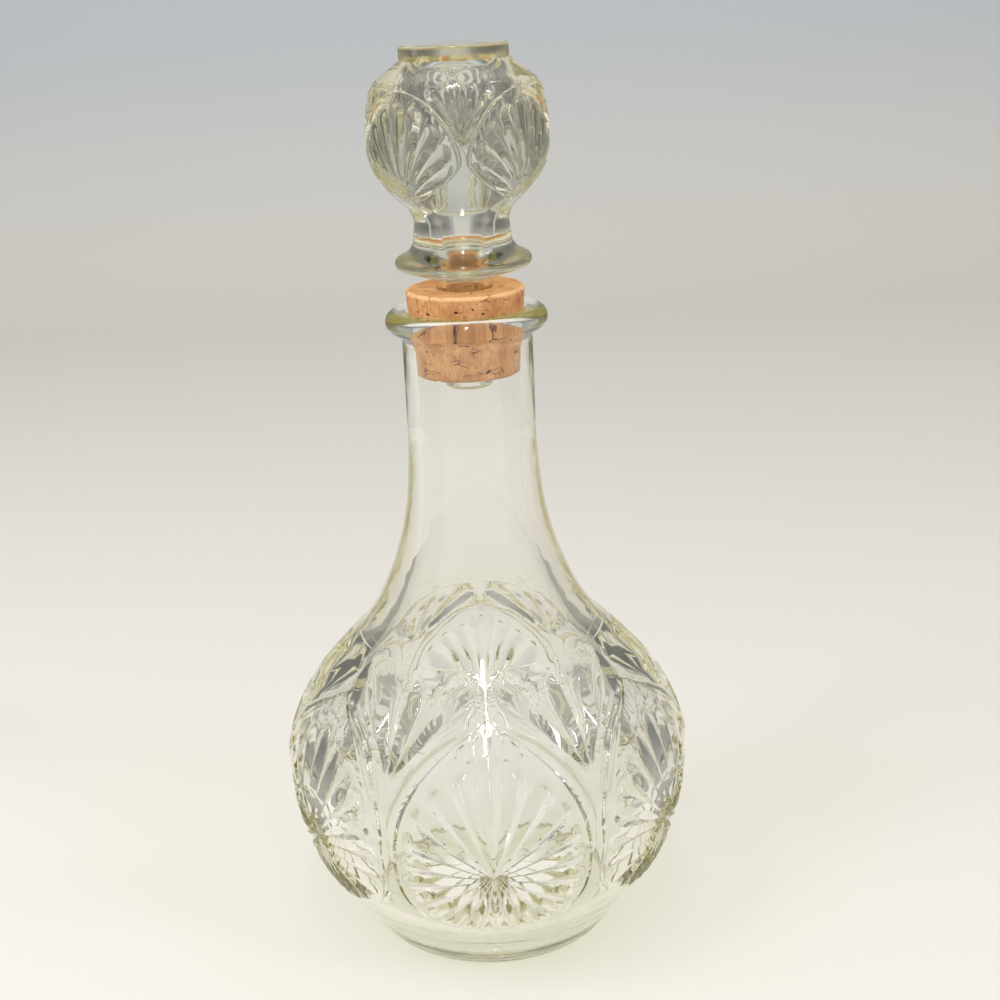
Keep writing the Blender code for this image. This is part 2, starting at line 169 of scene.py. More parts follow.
def bottleRadius(z):
    low = belly(z / bottle["belly height"])
    high = shoulder((z - bottle["belly height"]) / (bottle["neck start"] - bottle["belly height"]))
    below = bottle["base radius"] + (bottle["belly radius"] - bottle["base radius"]) * low
    above = bottle["neck radius"] + (bottle["belly radius"] - bottle["neck radius"]) * high
    return np.where(z <= bottle["belly height"], below, above)


def bottleWall(z):
    low = np.clip((z - bottle["belly height"]) / (bottlePattern["top"] - bottle["belly height"]), 0, 1)
    high = np.clip((z - bottlePattern["top"]) / (bottle["neck start"] - bottlePattern["top"]), 0, 1)
    thick = bottle["belly wall"] + (bottle["shoulder wall"] - bottle["belly wall"]) * low
    return thick + (bottle["mouth wall"] - bottle["shoulder wall"]) * high


cork = {
    "length": 27.3,
    "flare": 2.4,
    "proud": 6.5,
    "edge": 0.8,
    "gap": 0.3,
    "steps": 400,
    "side rows": 84,
    "top rows": 16,
    "bore rows": 20,
}

stopper = {
    "stem length": 36.0,
    "stem radius": 7.9,
    "stem flare": 1.2,
    "stem proud": 3.8,
    "stem wall": 2.6,
    "tip round": 1.0,
    "boss radius": 11.7,
    "flange radius": 21.8,
    "flange": 4.8,
    "flange edge": 2.1,
    "root radius": 15.8,
    "root": 10.7,
    "waist radius": 15.0,
    "waist": 18.0,
    "ball radius": 28.1,
    "ball": 44.5,
    "cavity radius": 13.6,
    "cavity roof": 63.9,
    "collar radius": 17.0,
    "collar": 66.8,
    "top": 71.3,
    "collar round": 1.1,
    "root round": 3.0,
    "flange sweep": (0.45, 0.60),  # where the flange's upper side bends, outwards and up, as shares
    "cavity end": 0.88,
    "cavity rounds": (5.0, 8.0),
    "bore rounds": (12.0, 12.0),
    "turned by": 3.24,
    "steps": 160,
}
ballLower = smoothCurve((
    (0.00, 0.00), (0.15, 0.14), (0.25, 0.36), (0.37, 0.59), (0.57, 0.85), (0.78, 0.96), (1.00, 1.00),
))
ballUpper = smoothCurve((
    (0.00, 1.00), (0.24, 0.96), (0.48, 0.885), (0.66, 0.785), (0.74, 0.70), (0.87, 0.35), (1.00, 0.00),
))

cavityShape = smoothCurve((  # the stopper's hollow, from the stem's bore to its full width and in again
    (0.00, 0.06), (0.12, 0.24), (0.24, 0.52), (0.38, 0.82),
    (0.52, 0.98), (0.68, 1.00), (0.80, 0.88), (0.88, 0.58),
))

boreRadius = bottle["neck radius"] - bottle["mouth wall"]
corkRadius = boreRadius - cork["gap"]
corkTop = bottle["mouth level"] + cork["proud"]
corkBottom = corkTop - cork["length"]
bossLevel = corkTop + stopper["stem proud"]
tipLevel = bossLevel - stopper["stem length"]
ballPattern = {
    "panels": 4,
    "turned by": 45 + stopper["turned by"],
    "girth": 28.1,
    "rays": 22,
    "bottom": bossLevel + 23.5,
    "star": bossLevel + 37.5,
    "hub": bossLevel + 27.0,
    "fan": bossLevel + 42.0,
    "arch": bossLevel + 58.0,
    "top": bossLevel + 61.0,
    "edge": 1.2,
    "rim": 1.2,
    "arch rim": 1.8,
    "point rim": 1.2,
    "band": 2.0,
    "bowl fullness": 1.5,
    "arch fullness": 1.8,
    "point fullness": 1.8,
    "ridge": 0.35,
    "ribbon": 0.5,
    "groove": 0.65,
    "field": 0.45,
    "frame start": 0.3,
    "low rays": 0.3,
    "petal round": 0.7,
    "petal end": 0.95,
    "top petal end": 0.93,
    "leaf middles": (0.0, 13.5, 28.0),
    "leaf halves": (6.5, 6.5, 7.5),
    "leaf bend": 4.0,
    "leaf ridge": 0.6,
    "leaf valley": 0.9,
    "row steps": 20,
    "spacing": 0.7,
}


def ballRadius(z):
    h = z - bossLevel
    low = ballLower((h - stopper["waist"]) / (stopper["ball"] - stopper["waist"]))
    high = ballUpper((h - stopper["ball"]) / (stopper["collar"] - stopper["ball"]))
    below = stopper["waist radius"] + (stopper["ball radius"] - stopper["waist radius"]) * low
    above = stopper["collar radius"] + (stopper["ball radius"] - stopper["collar radius"]) * high
    return np.where(h <= stopper["ball"], below, above)


def corkSide(z):
    return corkRadius + cork["flare"] * (z - corkBottom) / cork["length"]


def stemRadius(z):
    return stopper["stem radius"] + stopper["stem flare"] * (z - tipLevel) / stopper["stem length"]


mould = {  # shares that the patterns of the bottle and of the ball both follow
    "arch bend": 3.5,
    "ribbon start": (0.05, 0.40),
    "ribbon end": (0.55, 1.0),
    "scallop": 0.10,
    "top scallop from": 0.35,
    "petal fall": 0.045,
    "hub dip": 0.25,  # mm below the surface
    "groove run": 0.55,
    "groove bend": 0.8,
    "ridge run": 0.35,
    "low ray turns": (0.9, 1.9),  # radians from straight down
    "fan margin": 0.8,
    "fan start": (0.03, 0.22),
    "fan end": 0.78,
    "plain point": (0.08, 0.28),  # the glass above an arch's point stays plain
    "leaf start": (0.03, 0.25),
    "leaf end": 0.90,
    "taper from": 0.62,
    "beyond": 5,  # degrees outside the last leaf, over which the sunk fan comes up again
    "rim rows": (0.08, 0.16, 0.33, 0.50, 0.68, 0.86, 0.93, 1.0),
    "rim sides": (0.16, 0.86),  # where the rim's inner side ends and its outer side starts
}


def upwards(turn):  # 0 at a star's side, 1 at the point of its arch
    return np.clip(2 * turn / math.pi - 1, 0, 1)


def starOutline(p, turn):  # how far a star's field runs from its widest level, by the turn from straight down
    high = upwards(turn) ** mould["arch bend"]
    pointed = p["arch fullness"] - (p["arch fullness"] - p["point fullness"]) * high
    fullness = np.where(turn > math.pi / 2, pointed, p["bowl fullness"])
    side = math.pi * p["girth"] / p["panels"] - p["band"] / 2 - p["rim"]
    drop = p["star"] - p["bottom"] - p["edge"] - p["rim"]
    rise = p["arch"] - p["star"]
    across = (np.abs(np.sin(turn)) / side) ** fullness
    along = (np.abs(np.cos(turn)) / np.where(turn > math.pi / 2, rise, drop)) ** fullness
    return (across + along) ** (-1 / fullness)


def starReach(p, turn):  # how far the field runs from the hub of its rays, found by halving
    near, far = np.zeros_like(turn), np.full_like(turn, 2 * (p["top"] - p["bottom"]))
    for _ in range(36):
        out = (near + far) / 2
        x, y = out * np.sin(turn), p["hub"] - out * np.cos(turn)
        within = np.hypot(x, y - p["star"]) < starOutline(p, np.arctan2(x, p["star"] - y))
        near, far = np.where(within, out, near), np.where(within, far, out)
    return near


def ribbonShare(turn):  # 1 along both sides of the arch, where the rim swells to a ribbon
    up = upwards(turn)
    return ramp(*mould["ribbon start"], up) * (1 - ramp(*mould["ribbon end"], up))


def rimWidth(p, turn):  # the raised rim swells along both sides of the arch and thins to its point
    widest = p["rim"] + (p["arch rim"] - p["rim"]) * ribbonShare(turn)
    return widest - (p["rim"] - p["point rim"]) * ramp(*mould["ribbon end"], upwards(turn))


def rayPhase(p, turn):  # 1 on the ridge of a petal, 0 in the groove between two
    return np.abs((turn * p["rays"] / math.pi) % 2 - 1)


def petalEnd(p, turn):  # petals end in round scallops, nearly at the rim and shorter under the arch
    high = ramp(mould["top scallop from"], 1.0, upwards(turn))
    end = p["petal end"] - (p["petal end"] - p["top petal end"]) * high
    scallop = mould["scallop"]
    return end - scallop + scallop * np.sqrt(np.clip(1 - (1 - rayPhase(p, turn)) ** 2, 0, 1))


def leafMiddle(p, leaf, share):  # the angle of a leaf's ridge, from straight up at the fan's root
    bend = p["leaf bend"] if leaf == len(p["leaf middles"]) - 1 else 0
    return p["leaf middles"][leaf] + bend * share**2


def leafHalf(p, leaf, share):  # half a leaf's angle, which closes to a point at its tip
    start = mould["taper from"]
    taper = np.sqrt(np.clip(1 - (np.maximum(share - start, 0) / (1 - start)) ** 2, 0, 1))
    return p["leaf halves"][leaf] * taper


def fanHeight(p):
    return p["top"] - p["edge"] * mould["fan margin"] - p["fan"]


def leafLength(p, leaf):
    return fanHeight(p) / math.cos(math.radians(leafMiddle(p, leaf, 1.0)))


def relief(p, x, y):  # how far the surface stands out, in mm, where x is along the girth and y is up
    half = math.pi * p["girth"] / p["panels"]
    turn = np.arctan2(x, p["hub"] - y)
    out = np.hypot(x, y - p["hub"])
    reach = starReach(p, turn)
    share = out / reach
    phase = rayPhase(p, turn)
    rounded = p["petal round"]  # from flat flanks at 0 to a round back at 1
    pillow = (1 - rounded) * phase + rounded * np.sin(phase * math.pi / 2)
    dip = mould["hub dip"]
    low = -dip - (p["groove"] - dip) * np.clip(share / mould["groove run"], 0, 1) ** mould["groove bend"]
    high = -dip + (p["ridge"] + dip) * ramp(0, mould["ridge run"], share)
    end = petalEnd(p, turn)
    fall = ramp(end - mould["petal fall"], end, share)
    framed = ramp(p["frame start"], math.pi / 2, turn)  # 1 where the arch frames the star, 0 below it
    field = p["field"] * framed
    depth = p["low rays"] + (1 - p["low rays"]) * ramp(*mould["low ray turns"], turn)
    star = (low + (high - low) * pillow) * (1 - fall) * depth - field * fall

    fx, fy = half - x, y - p["fan"]
    long = np.hypot(fx, fy)
    angle = np.degrees(np.arctan2(fx, np.maximum(fy, 1e-6)))
    height = fy / fanHeight(p)
    last = len(p["leaf middles"]) - 1
    along = long / leafLength(p, last)
    widest = leafMiddle(p, last, along) + leafHalf(p, last, along)
    plain = ramp(widest, widest + mould["beyond"], angle) * (1 - ramp(*mould["plain point"], x / half))
    sunk = ramp(*mould["fan start"], height) * (1 - ramp(mould["fan end"], 1.0, height))
    fan = -p["leaf valley"] * (1 - plain) * sunk  # sunk between the leaves, plain above the arch's point
    for leaf in range(len(p["leaf middles"])):
        along = long / leafLength(p, leaf)
        off = np.abs(angle - leafMiddle(p, leaf, along))
        wide = np.maximum(leafHalf(p, leaf, along), 0.05)
        ridge = p["leaf ridge"] * ramp(*mould["leaf start"], along)
        ridge = ridge * (1 - ramp(mould["leaf end"], 1.0, along))
        gable = np.clip(1 - off / wide, 0, 1)
        fan = np.where((off <= wide) & (along < 1), fan + (ridge - fan) * gable, fan)
    fan = np.where(fy > 0, fan, 0)

    across = (out - reach) / rimWidth(p, turn)
    crown = p["ribbon"] * ribbonShare(turn) * (1 - (2 * np.clip(across, 0, 1) - 1) ** 2)
    top = (p["ridge"] + crown) * framed
    innerEnd, outerStart = mould["rim sides"]
    inner = (top + field) * ramp(0, innerEnd, across) - field
    outer = fan + (top - fan) * (1 - ramp(outerStart, 1.0, across))
    rim = np.where(across < 0.5, inner, outer)
    return np.where(share <= 1, star, np.where(across < 1, rim, fan))


def patternPoints(p):  # points and lines that follow the rays, rims and leaves, so that each crease is crisp
    half = math.pi * p["girth"] / p["panels"]
    gap = p["spacing"]
    points, lines = [], []

    def keep(x, y):
        x = 0 if x < 0.02 else half if x > half - 0.02 else x
        points.append((x, y))
        return len(points) - 1

    count = p["rays"] * 4
    # shares of the way from the hub to the field's edge, where each ray has points
    near = [0.05, 0.10, 0.15, 0.20] + list(np.linspace(0.26, 0.62, 9))
    rings = {}
    hub = keep(0, p["hub"])
    turns = np.linspace(0, math.pi, count + 1)
    for i, turn, reach, rim, end in zip(
        range(count + 1), turns, starReach(p, turns), rimWidth(p, turns), petalEnd(p, turns)
    ):
        # rings are numbered from 0 on the rays, from 20 and 30 at the petals' ends and from 40 on the rim
        outs = [(n, s * reach) for n, s in enumerate(near)]
        outs += [(20 + n, s * reach) for n, s in enumerate(np.linspace(0.66, end - mould["petal fall"], 5))]
        outs += [(30 + n, s * reach) for n, s in enumerate((end - 0.022, end, (end + 1) / 2, 1.0))]
        outs += [(40 + n, reach + rim * q) for n, q in enumerate(mould["rim rows"])]
        last = hub
        for ring, out in outs:
            every = 4 if ring < 4 else 2 if ring < 8 else 1
            if i % every:
                continue
            here = keep(out * math.sin(turn), p["hub"] - out * math.cos(turn))
            if i % 4 == 0 and ring < 34:
                lines.append((last, here))
            last = here
            rings.setdefault(ring, []).append(here)
    for ring in (24, 31, 33, 41, 45, 47):
        lines += list(zip(rings[ring], rings[ring][1:]))

    fine = np.linspace(0, math.pi, 1441)
    edges = starReach(p, fine) + rimWidth(p, fine)

    def clear(x, y):
        edge = np.interp(math.atan2(x, p["hub"] - y), fine, edges)
        return math.hypot(x, y - p["hub"]) > edge + gap * 0.35 and gap * 0.3 < x < half - gap * 0.3

    for leaf in range(len(p["leaf middles"])):
        long = leafLength(p, leaf)
        for k in range(-4, 5):
            last = None
            for step in range(int(long / gap) + 1):
                share = min((step + 1.5) * gap / long, 1)
                every = 4 if share * long < 6 * gap else 2 if share * long < 14 * gap else 1
                if k % every:
                    continue
                angle = math.radians(leafMiddle(p, leaf, share) + float(leafHalf(p, leaf, share)) * k / 4)
                x, y = half - share * long * math.sin(angle), p["fan"] + share * long * math.cos(angle)
                if not clear(x, y):
                    continue
                here = keep(x, y)
                if k % 4 == 0 and last is not None:
                    lines.append((last, here))
                last = here

    last = len(p["leaf middles"]) - 1
    for beyond in (mould["beyond"] / 2, mould["beyond"]):
        for share in np.arange(0.4, 1.0, gap / leafLength(p, last)):
            angle = math.radians(leafMiddle(p, last, share) + float(leafHalf(p, last, share)) + beyond)
            out = share * leafLength(p, last)
            x, y = half - out * math.sin(angle), p["fan"] + out * math.cos(angle)
            if clear(x, y):
                keep(x, y)

    for y in (p["bottom"], p["top"]):
        for i in range(p["row steps"] + 1):
            keep(half * i / p["row steps"], y)
    low = p["bottom"] + p["edge"]
    high = p["arch"] + p["point rim"]
    for y in np.arange(p["bottom"] + gap, p["top"] - gap * 0.4, gap):
        keep(half, y)
        if y < low - gap * 0.4 or y > high + gap * 0.4:
            keep(0, y)

    tree = KDTree(len(points))
    for x, y in points:
        tree.insert((x, y, 0), 0)
    tree.balance()
    step = gap * 1.5  # plain glass between the creases is filled with an even grid
    for j, y in enumerate(np.arange(p["bottom"] + step / 2, p["top"], step * 0.87)):
        for x in np.arange(step / 2 * (1 + j % 2), half, step):
            if tree.find((x, y, 0))[2] > step * 0.62:
                keep(x, y)

    pairs = KDTree(len(points))  # of points that nearly meet, the first stays
    for i, (x, y) in enumerate(points):
        pairs.insert((x, y, 0), i)
    pairs.balance()
    stays = list(range(len(points)))
    for i, (x, y) in enumerate(points):
        if stays[i] == i:
            for _, other, _ in pairs.find_range((x, y, 0), gap * 0.16):
                if other > i and stays[other] == other:
                    stays[other] = i
    order = sorted(set(stays))
    place = {old: new for new, old in enumerate(order)}
    lines = {tuple(sorted((place[stays[a]], place[stays[b]]))) for a, b in lines}
    return [points[i] for i in order], sorted(pair for pair in lines if pair[0] != pair[1]), half


def halfPanel(p, radiusAt):  # half a panel of the pattern, wrapped on the turned surface
    points, lines, half = patternPoints(p)
    flat = [Vector((x / half, (y - p["bottom"]) / half)) for x, y in points]
    made, _, faces, _, _, _ = delaunay_2d_cdt(flat, lines, [], 0, 1e-7)
    xy = np.array([v[:] for v in made]) * half + (0, p["bottom"])
    x, y = xy.T
    onEdge = (y < p["bottom"] + 0.01) | (y > p["top"] - 0.01)
    radius = radiusAt(y) + np.where(onEdge, 0, relief(p, x, y))
    angle = x / half * math.pi / p["panels"]
    verts = np.stack((radius * np.sin(angle), -radius * np.cos(angle), y), axis=1) * mm
    mesh = bpy.data.meshes.new("halfPanel")
    mesh.from_pydata(verts.tolist(), [], [list(f) for f in faces])
    made = bpy.data.objects.new("halfPanel", mesh)
    bpy.context.scene.collection.objects.link(made)
    return made


def addNode(tree, kind, settings=None, **inputs):  # one node, with its settings and its values or links
    node = tree.nodes.new(kind)
    for key, value in (settings or {}).items():
        setattr(node, key, value)
    for key, value in inputs.items():
        name = key.replace("_", " ")
        socket = node.inputs[int(name[1:])] if name[0] == "n" and name[1:].isdigit() else node.inputs[name]
        if isinstance(value, bpy.types.NodeSocket):
            tree.links.new(value, socket)
        else:
            socket.default_value = value
    return node


def linear(code):  # an sRGB hex colour as the linear one that nodes take
    parts = [int(code[i : i + 2], 16) / 255 for i in (1, 3, 5)]
    return (*(c / 12.92 if c <= 0.04045 else ((c + 0.055) / 1.055) ** 2.4 for c in parts), 1.0)


def turnedWall(name, lines, steps, start=0):  # outlines turned about Z; each runs down its outer side
    mesh = bpy.data.meshes.new(name)
    points, edges = [], []
    for line in lines:
        edges += [(len(points) + i, len(points) + i + 1) for i in range(len(line) - 1)]
        points += [(r * mm * math.cos(start), r * mm * math.sin(start), z * mm) for r, z in line]
    mesh.from_pydata(points, edges, [])
    made = bpy.data.objects.new(name, mesh)
    bpy.context.scene.collection.objects.link(made)
    screw = made.modifiers.new("turn", "SCREW")
    screw.steps = screw.render_steps = steps
    screw.use_merge_vertices = True
    screw.merge_threshold = 0.00001
    return made


def vesselTree():  # panels round a turned wall, mirrored, repeated and welded to it
    tree = bpy.data.node_groups.new("pressedVessel", "GeometryNodeTree")
    for name, kind in (
        ("Wall", "NodeSocketGeometry"), ("Half Panel", "NodeSocketObject"), ("Panels", "NodeSocketInt"),
        ("First Turn", "NodeSocketFloat"), ("Weld", "NodeSocketFloat"), ("Glass", "NodeSocketMaterial"),
    ):
        tree.interface.new_socket(name, in_out="INPUT", socket_type=kind)
    tree.interface.new_socket("Vessel", in_out="OUTPUT", socket_type="NodeSocketGeometry")
    given = tree.nodes.new("NodeGroupInput").outputs
    half = addNode(tree, "GeometryNodeObjectInfo", Object=given["Half Panel"]).outputs["Geometry"]
    other = addNode(tree, "GeometryNodeTransform", Geometry=half, Scale=(-1, 1, 1)).outputs[0]
    other = addNode(tree, "GeometryNodeFlipFaces", Mesh=other).outputs[0]
    panel = tree.nodes.new("GeometryNodeJoinGeometry")
    tree.links.new(half, panel.inputs[0])
    tree.links.new(other, panel.inputs[0])
    spots = addNode(tree, "GeometryNodePoints", Count=given["Panels"]).outputs[0]
    index = tree.nodes.new("GeometryNodeInputIndex").outputs[0]
    share = addNode(tree, "ShaderNodeMath", {"operation": "DIVIDE"}, n0=index, n1=given["Panels"]).outputs[0]
    angle = addNode(
        tree, "ShaderNodeMath", {"operation": "MULTIPLY_ADD"},
        n0=share, n1=2 * math.pi, n2=given["First Turn"],
    ).outputs[0]
    turn = addNode(tree, "ShaderNodeCombineXYZ", Z=angle).outputs[0]
    ring = addNode(
        tree, "GeometryNodeInstanceOnPoints", Points=spots, Instance=panel.outputs[0], Rotation=turn
    ).outputs[0]
    ring = addNode(tree, "GeometryNodeRealizeInstances", Geometry=ring).outputs[0]
    whole = tree.nodes.new("GeometryNodeJoinGeometry")
    tree.links.new(given["Wall"], whole.inputs[0])
    tree.links.new(ring, whole.inputs[0])
    welded = addNode(
        tree, "GeometryNodeMergeByDistance", Geometry=whole.outputs[0], Distance=given["Weld"]
    ).outputs[0]
    smooth = addNode(tree, "GeometryNodeSetShadeSmooth", Geometry=welded).outputs[0]
    solid = addNode(tree, "GeometryNodeRealizeInstances", Geometry=smooth).outputs[0]
    done = addNode(tree, "GeometryNodeSetMaterial", Geometry=solid, Material=given["Glass"]).outputs[0]
    tree.links.new(done, tree.nodes.new("NodeGroupOutput").inputs[0])
    return tree


def setInputs(modifier, tree, values):  # a modifier's inputs, found by name and set by identifier
    for item in tree.interface.items_tree:
        if item.item_type == "SOCKET" and item.in_out == "INPUT" and item.name in values:
            modifier[item.identifier] = values[item.name]


weldGap = 0.03  # panels join their wall where points lie this near, in mm
seamGap = 0.004  # points nearer than this become one, in mm
sharpAngle = 50  # in degrees; flatter edges are shaded smooth


def plainMesh(source, name, material):  # the evaluated object as a plain piece, facing outwards
    graph = bpy.context.evaluated_depsgraph_get()
    mesh = bpy.data.meshes.new_from_object(source.evaluated_get(graph))
    mesh.name = name
    bpy.data.objects.remove(source)
    bm = bmesh.new()
    bm.from_mesh(mesh)
    bmesh.ops.remove_doubles(bm, verts=bm.verts, dist=seamGap * mm)
    bmesh.ops.recalc_face_normals(bm, faces=bm.faces)
    loose = sum(len(e.link_faces) != 2 for e in bm.edges)
    bm.to_mesh(mesh)
    bm.free()
    mesh.materials.clear()
    mesh.materials.append(material)
    mesh.shade_smooth()
    mesh.set_sharp_from_angle(angle=math.radians(sharpAngle))
    piece = bpy.data.objects.new(name, mesh)
    bpy.context.scene.collection.objects.link(piece)
    print(name, "has", sum(len(f.vertices) - 2 for f in mesh.polygons), "triangles and", loose, "loose edges")
    return piece


def principled(name):
    material = bpy.data.materials.new(name)
    material.use_nodes = True
    tree = material.node_tree
    return material, tree, tree.nodes["Principled BSDF"]


# pressed soda-lime glass: clear, yellow-green where thick, softly wavy from the mould
def sodaLimeGlass(name, look):
    material, tree, shader = principled(name)
    shader.inputs["Base Color"].default_value = linear(look["surface"])
    shader.inputs["Roughness"].default_value = look["roughness"]
    shader.inputs["IOR"].default_value = look["index"]
    shader.inputs["Transmission Weight"].default_value = 1
    place = tree.nodes.new("ShaderNodeTexCoord").outputs["Object"]
    waves = addNode(tree, "ShaderNodeTexNoise", Vector=place, Scale=1 / (look["wave size"] * mm), Detail=1.0)
    bump = addNode(
        tree, "ShaderNodeBump", Height=waves.outputs[0], Strength=1.0, Distance=look["wave height"] * mm
    )
    tree.links.new(bump.outputs[0], shader.inputs["Normal"])
    if look["frosted"]:  # the parts that the mould left dull, with upright streaks
        height = addNode(tree, "ShaderNodeSeparateXYZ", Vector=place).outputs[2]
        edge = look["dull edge"]
        dull = None
        for low, high in look["frosted"]:
            rise = addNode(
                tree, "ShaderNodeMapRange",
                Value=height, From_Min=(low - edge) * mm, From_Max=(low + edge) * mm,
            )
            drop = addNode(
                tree, "ShaderNodeMapRange",
                Value=height, From_Min=(high + edge) * mm, From_Max=(high - edge) * mm,
            )
            band = addNode(
                tree, "ShaderNodeMath", {"operation": "MULTIPLY"}, n0=rise.outputs[0], n1=drop.outputs[0]
            )
            if dull:
                band = addNode(
                    tree, "ShaderNodeMath", {"operation": "ADD"}, n0=band.outputs[0], n1=dull.outputs[0]
                )
            dull = band
        stretch = (1 / (look["streak width"] * mm),) * 2 + (1 / (look["streak length"] * mm),)
        drawn = addNode(
            tree, "ShaderNodeVectorMath", {"operation": "MULTIPLY"}, n0=place, n1=stretch
        ).outputs[0]
        streaks = addNode(tree, "ShaderNodeTexNoise", Vector=drawn, Scale=1.0, Detail=2.0).outputs[0]
        (low, high), (least, most) = look["streak noise"], look["dull roughness"]
        rough = addNode(
            tree, "ShaderNodeMapRange", Value=streaks, From_Min=low, From_Max=high, To_Min=least, To_Max=most
        ).outputs[0]
        rough = addNode(
            tree, "ShaderNodeMath", {"operation": "MULTIPLY"}, n0=rough, n1=dull.outputs[0]
        ).outputs[0]
        rough = addNode(
            tree, "ShaderNodeMath", {"operation": "MAXIMUM"}, n0=rough, n1=look["roughness"]
        ).outputs[0]
        tree.links.new(rough, shader.inputs["Roughness"])
        tone = addNode(
            tree, "ShaderNodeMix", {"data_type": "RGBA"},
            n0=dull.outputs[0], n6=linear(look["surface"]), n7=linear(look["dull surface"]),
        )
        tree.links.new(tone.outputs[2], shader.inputs["Base Color"])
    # lamps and soft light shine through the glass
    clear = addNode(tree, "ShaderNodeBsdfTransparent", Color=linear(look["shadow"]))
    rays = tree.nodes.new("ShaderNodeLightPath").outputs
    seen = shader
    for kind in ("Is Diffuse Ray", "Is Shadow Ray"):
        seen = addNode(tree, "ShaderNodeMixShader", n0=rays[kind], n1=seen.outputs[0], n2=clear.outputs[0])
    tint = addNode(
        tree, "ShaderNodeVolumeAbsorption", Color=linear(look["depth tint"]), Density=look["depth density"]
    )
    out = tree.nodes["Material Output"]
    tree.links.new(seen.outputs[0], out.inputs["Surface"])
    tree.links.new(tint.outputs[0], out.inputs["Volume"])
    return material


glassLook = {
    "surface": "#FFFFFF",
    "shadow": "#F8F9F6",
    "index": 1.52,
    "roughness": 0.0,
    "wave size": 11.0,
    "wave height": 0.10,
    "depth tint": "#E4DEA0",
    "depth density": 11.0,
    "frosted": (),  # heights between which the glass is dull
}
stopperLook = {
    **glassLook,
    "roughness": 0.035,
    "dull surface": "#FBF9EA",
    "dull roughness": (0.08, 0.26),
    "dull edge": 0.4,
    "streak width": 0.9,
    "streak length": 6.0,
    "streak noise": (0.35, 0.65),
    "wave size": 6.0,
    "wave height": 0.06,
    "frosted": (  # the flange and the collar
        (bossLevel - 0.2, bossLevel + 9.0),
        (bossLevel + stopper["collar"] + 0.6, bossLevel + stopper["top"] - 0.3),
    ),
}
bottleGlass = sodaLimeGlass("pressedSodaLimeGlass", glassLook)
stopperGlass = sodaLimeGlass("stopperSodaLimeGlass", stopperLook)


corkLook = {
    "tan": "#E0A873",
    "brown": "#BF8350",
    "streak": "#9E663A",
    # painted highlight: the lighter colour on the cork's top outer edge, where light catches it
    "rim": "#EFC08A",
    "pit": "#4A2A20",
    "crack": "#7A452C",
    "patch size": 6.0,
    "grain across": 0.30,
    "grain along": 3.2,
    "pit spacing": 2.9,
    "pit share": 0.6,
    "pit size": 0.34,  # the largest pits, as a share of their spacing
    "pit depth": 0.45,
    "crack length": 8.0,
    "crack spacing": 2.6,
    "crack width": 0.040,
    "crack depth": 0.20,
    "wobble": 0.9,
    "wobble size": 1.4,
    "pit flatness": 1.6,  # pits are this much wider than they are high
    "pit sharpness": 14.0,
    "crack sharpness": 45.0,
    "crack patch size": 4.5,
    "crack patches": (0.55, 0.62),
    "patch contrast": (0.35, 0.65),
    "streak contrast": (0.48, 0.70),
    "streak share": 0.75,
    # where the painted highlight on the top edge reaches, and how far it lightens the cork
    "highlight in from side": (1.6, 0.7),
    "highlight down from top": (1.3, 0.5),
    "highlight share": 0.75,
    "roughness": (0.72, 0.92),
    "cell size": 0.35,
    "bump height": 0.10,
    "bump share": 0.5,
}


def corkMarks(tree, place):  # cork's pits and cracks, from 0 to 1, for its shape and its colours alike
    look = corkLook
    drift = addNode(
        tree, "ShaderNodeTexNoise", Vector=place, Scale=1 / (look["wobble size"] * mm), Detail=1.0
    ).outputs["Color"]
    drift = addNode(
        tree, "ShaderNodeVectorMath", {"operation": "SUBTRACT"}, n0=drift, n1=(0.5, 0.5, 0.5)
    ).outputs[0]
    moved = addNode(
        tree, "ShaderNodeVectorMath", {"operation": "MULTIPLY_ADD"},
        n0=drift, n1=(look["wobble"] * mm,) * 3, n2=place,
    ).outputs[0]
    flatter = addNode(
        tree, "ShaderNodeVectorMath", {"operation": "MULTIPLY"}, n0=moved, n1=(1, 1, look["pit flatness"])
    ).outputs[0]
    cells = addNode(
        tree, "ShaderNodeTexVoronoi", Vector=flatter, Scale=1 / (look["pit spacing"] * mm)
    ).outputs
    chance = addNode(tree, "ShaderNodeSeparateXYZ", Vector=cells["Color"]).outputs[0]
    rarest = 1 - look["pit share"]
    size = addNode(
        tree, "ShaderNodeMapRange", Value=chance, From_Min=rarest, From_Max=1.0, To_Max=look["pit size"]
    ).outputs[0]
    inside = addNode(
        tree, "ShaderNodeMath", {"operation": "SUBTRACT"}, n0=size, n1=cells["Distance"]
    ).outputs[0]
    times = {"operation": "MULTIPLY", "use_clamp": True}
    pits = addNode(tree, "ShaderNodeMath", times, n0=inside, n1=look["pit sharpness"]).outputs[0]
    squash = (1 / (look["crack length"] * mm),) * 2 + (1 / (look["crack spacing"] * mm),)
    bands = addNode(tree, "ShaderNodeVectorMath", {"operation": "MULTIPLY"}, n0=moved, n1=squash).outputs[0]
    edges = addNode(
        tree, "ShaderNodeTexVoronoi", {"feature": "DISTANCE_TO_EDGE"}, Vector=bands, Scale=1.0
    ).outputs[0]
    near = addNode(
        tree, "ShaderNodeMath", {"operation": "SUBTRACT"}, n0=look["crack width"], n1=edges
    ).outputs[0]
    line = addNode(tree, "ShaderNodeMath", times, n0=near, n1=look["crack sharpness"]).outputs[0]
    some = addNode(
        tree, "ShaderNodeTexNoise", Vector=place, Scale=1 / (look["crack patch size"] * mm), Detail=0.0
    ).outputs[0]
    low, high = look["crack patches"]
    some = addNode(tree, "ShaderNodeMapRange", Value=some, From_Min=low, From_Max=high).outputs[0]
    cracks = addNode(tree, "ShaderNodeMath", {"operation": "MULTIPLY"}, n0=line, n1=some).outputs[0]
    return pits, cracks
